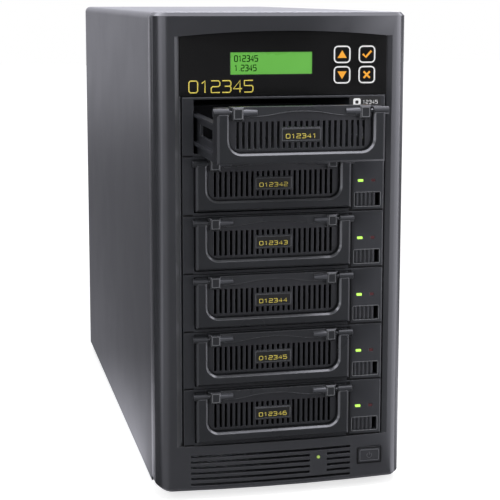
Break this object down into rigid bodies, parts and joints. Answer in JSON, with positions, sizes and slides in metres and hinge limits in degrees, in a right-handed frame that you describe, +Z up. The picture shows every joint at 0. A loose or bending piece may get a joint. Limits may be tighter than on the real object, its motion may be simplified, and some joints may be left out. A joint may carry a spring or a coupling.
{
  "type": "hard drive duplicator",
  "caption": "Tower that copies hard drives, with a bowed front, a control panel with display and keys, and stacked sliding drive trays with folding handles.",
  "frame": {"origin": "on the floor, under the middle of the outer box with the top tray pulled out 75 mm", "axes": "the front faces -Y, +X is the right-hand side seen from the front, +Z up"},
  "size_m": [0.186, 0.5346, 0.3515],
  "materials": {
    "cover_paint": "satin dark grey paint on sheet steel",
    "bezel": "satin charcoal moulded plastic",
    "rack": "fine-grained dark grey plastic",
    "tray": "satin dark grey plastic",
    "handle": "satin charcoal plastic with worn edges",
    "panel_gloss": "polished black plastic",
    "display": "lit green display behind a clear window",
    "lamp": "clear green lamp",
    "inner_steel": "zinc-plated sheet steel",
    "circuit_board": "green solder-masked board",
    "fan_black": "black moulded plastic",
    "wire": "bright plated wire",
    "rubber": "black rubber"
  },
  "bodies": {
    "chassis": {"chassis_frame": "inner_steel", "bay_cage": "inner_steel", "wrap_cover": "cover_paint", "front_bezel": "bezel", "control_panel": "panel_gloss", "lcd_module": "display", "key_board": "circuit_board", "control_board": "circuit_board", "power_switch": "circuit_board", "power_led": "lamp", "backplane": "circuit_board", "psu_case": "inner_steel", "psu_board": "circuit_board", "psu_fan_frame": "fan_black", "power_inlet": "fan_black", "exhaust_fan_frame": "fan_black", "exhaust_fan_guard": "wire", "foot_front_left": "rubber", "foot_front_right": "rubber", "foot_rear_left": "rubber", "foot_rear_right": "rubber", "rack_housing_1": "rack", "rack_housing_2": "rack", "rack_housing_3": "rack", "rack_housing_4": "rack", "rack_housing_5": "rack", "rack_housing_6": "rack"},
    "tray_1": {"tray_sled_1": "rack", "tray_front_1": "tray"},
    "handle_1": {"tray_handle_1": "handle"},
    "lock_1": {"lock_slider_1": "rack"},
    "tray_2": {"tray_sled_2": "rack", "tray_front_2": "tray"},
    "handle_2": {"tray_handle_2": "handle"},
    "lock_2": {"lock_slider_2": "rack"},
    "tray_3": {"tray_sled_3": "rack", "tray_front_3": "tray"},
    "handle_3": {"tray_handle_3": "handle"},
    "lock_3": {"lock_slider_3": "rack"},
    "tray_4": {"tray_sled_4": "rack", "tray_front_4": "tray"},
    "handle_4": {"tray_handle_4": "handle"},
    "lock_4": {"lock_slider_4": "rack"},
    "tray_5": {"tray_sled_5": "rack", "tray_front_5": "tray"},
    "handle_5": {"tray_handle_5": "handle"},
    "lock_5": {"lock_slider_5": "rack"},
    "tray_6": {"tray_sled_6": "rack", "tray_front_6": "tray"},
    "handle_6": {"tray_handle_6": "handle"},
    "lock_6": {"lock_slider_6": "rack"},
    "key_up": {"key_up": "panel_gloss"},
    "key_enter": {"key_enter": "panel_gloss"},
    "key_down": {"key_down": "panel_gloss"},
    "key_back": {"key_back": "panel_gloss"},
    "power_button": {"power_button": "bezel"},
    "rocker": {"psu_switch": "fan_black"},
    "psu_rotor": {"psu_fan_rotor": "fan_black"},
    "exhaust_rotor": {"exhaust_fan_rotor": "fan_black"}
  },
  "joints": [
    {"name": "tray_slide_1", "type": "slide", "parent": "chassis", "child": "tray_1", "axis": [0, -1, 0], "range_m": [-0.075, 0.085]},
    {"name": "handle_hinge_1", "type": "hinge", "parent": "tray_1", "child": "handle_1", "pos_m": [-0.0092, -0.26465, 0.2886], "axis": [-1, 0, 0], "range_deg": [0, 90]},
    {"name": "lock_slide_1", "type": "slide", "parent": "chassis", "child": "lock_1", "axis": [1, 0, 0], "range_m": [0, 0.003]},
    {"name": "tray_slide_2", "type": "slide", "parent": "chassis", "child": "tray_2", "axis": [0, -1, 0], "range_m": [0, 0.16]},
    {"name": "handle_hinge_2", "type": "hinge", "parent": "tray_2", "child": "handle_2", "pos_m": [-0.0092, -0.18965, 0.2466], "axis": [-1, 0, 0], "range_deg": [0, 90]},
    {"name": "lock_slide_2", "type": "slide", "parent": "chassis", "child": "lock_2", "axis": [1, 0, 0], "range_m": [0, 0.003]},
    {"name": "tray_slide_3", "type": "slide", "parent": "chassis", "child": "tray_3", "axis": [0, -1, 0], "range_m": [0, 0.16]},
    {"name": "handle_hinge_3", "type": "hinge", "parent": "tray_3", "child": "handle_3", "pos_m": [-0.0092, -0.18965, 0.2046], "axis": [-1, 0, 0], "range_deg": [0, 90]},
    {"name": "lock_slide_3", "type": "slide", "parent": "chassis", "child": "lock_3", "axis": [1, 0, 0], "range_m": [0, 0.003]},
    {"name": "tray_slide_4", "type": "slide", "parent": "chassis", "child": "tray_4", "axis": [0, -1, 0], "range_m": [0, 0.16]},
    {"name": "handle_hinge_4", "type": "hinge", "parent": "tray_4", "child": "handle_4", "pos_m": [-0.0092, -0.18965, 0.1626], "axis": [-1, 0, 0], "range_deg": [0, 90]},
    {"name": "lock_slide_4", "type": "slide", "parent": "chassis", "child": "lock_4", "axis": [1, 0, 0], "range_m": [0, 0.003]},
    {"name": "tray_slide_5", "type": "slide", "parent": "chassis", "child": "tray_5", "axis": [0, -1, 0], "range_m": [0, 0.16]},
    {"name": "handle_hinge_5", "type": "hinge", "parent": "tray_5", "child": "handle_5", "pos_m": [-0.0092, -0.18965, 0.1206], "axis": [-1, 0, 0], "range_deg": [0, 90]},
    {"name": "lock_slide_5", "type": "slide", "parent": "chassis", "child": "lock_5", "axis": [1, 0, 0], "range_m": [0, 0.003]},
    {"name": "tray_slide_6", "type": "slide", "parent": "chassis", "child": "tray_6", "axis": [0, -1, 0], "range_m": [0, 0.16]},
    {"name": "handle_hinge_6", "type": "hinge", "parent": "tray_6", "child": "handle_6", "pos_m": [-0.0092, -0.18965, 0.0786], "axis": [-1, 0, 0], "range_deg": [0, 90]},
    {"name": "lock_slide_6", "type": "slide", "parent": "chassis", "child": "lock_6", "axis": [1, 0, 0], "range_m": [0, 0.003]},
    {"name": "key_up_press", "type": "slide", "parent": "chassis", "child": "key_up", "axis": [0, 1, 0], "range_m": [0, 0.0008], "stiffness_N_per_m": 400},
    {"name": "key_enter_press", "type": "slide", "parent": "chassis", "child": "key_enter", "axis": [0, 1, 0], "range_m": [0, 0.0008], "stiffness_N_per_m": 400},
    {"name": "key_down_press", "type": "slide", "parent": "chassis", "child": "key_down", "axis": [0, 1, 0], "range_m": [0, 0.0008], "stiffness_N_per_m": 400},
    {"name": "key_back_press", "type": "slide", "parent": "chassis", "child": "key_back", "axis": [0, 1, 0], "range_m": [0, 0.0008], "stiffness_N_per_m": 400},
    {"name": "power_button_press", "type": "slide", "parent": "chassis", "child": "power_button", "axis": [0, 1, 0], "range_m": [0, 0.0015], "stiffness_N_per_m": 400},
    {"name": "rocker_tilt", "type": "hinge", "parent": "chassis", "child": "rocker", "pos_m": [0.046, 0.26245, 0.3135], "axis": [-1, 0, 0], "range_deg": [0, 12]},
    {"name": "psu_fan_spin", "type": "hinge", "parent": "chassis", "child": "psu_rotor", "pos_m": [-0.03, 0.24945, 0.2965], "axis": [0, 1, 0], "continuous": true},
    {"name": "exhaust_fan_spin", "type": "hinge", "parent": "chassis", "child": "exhaust_rotor", "pos_m": [0, 0.24945, 0.157], "axis": [0, 1, 0], "continuous": true}
  ]
}
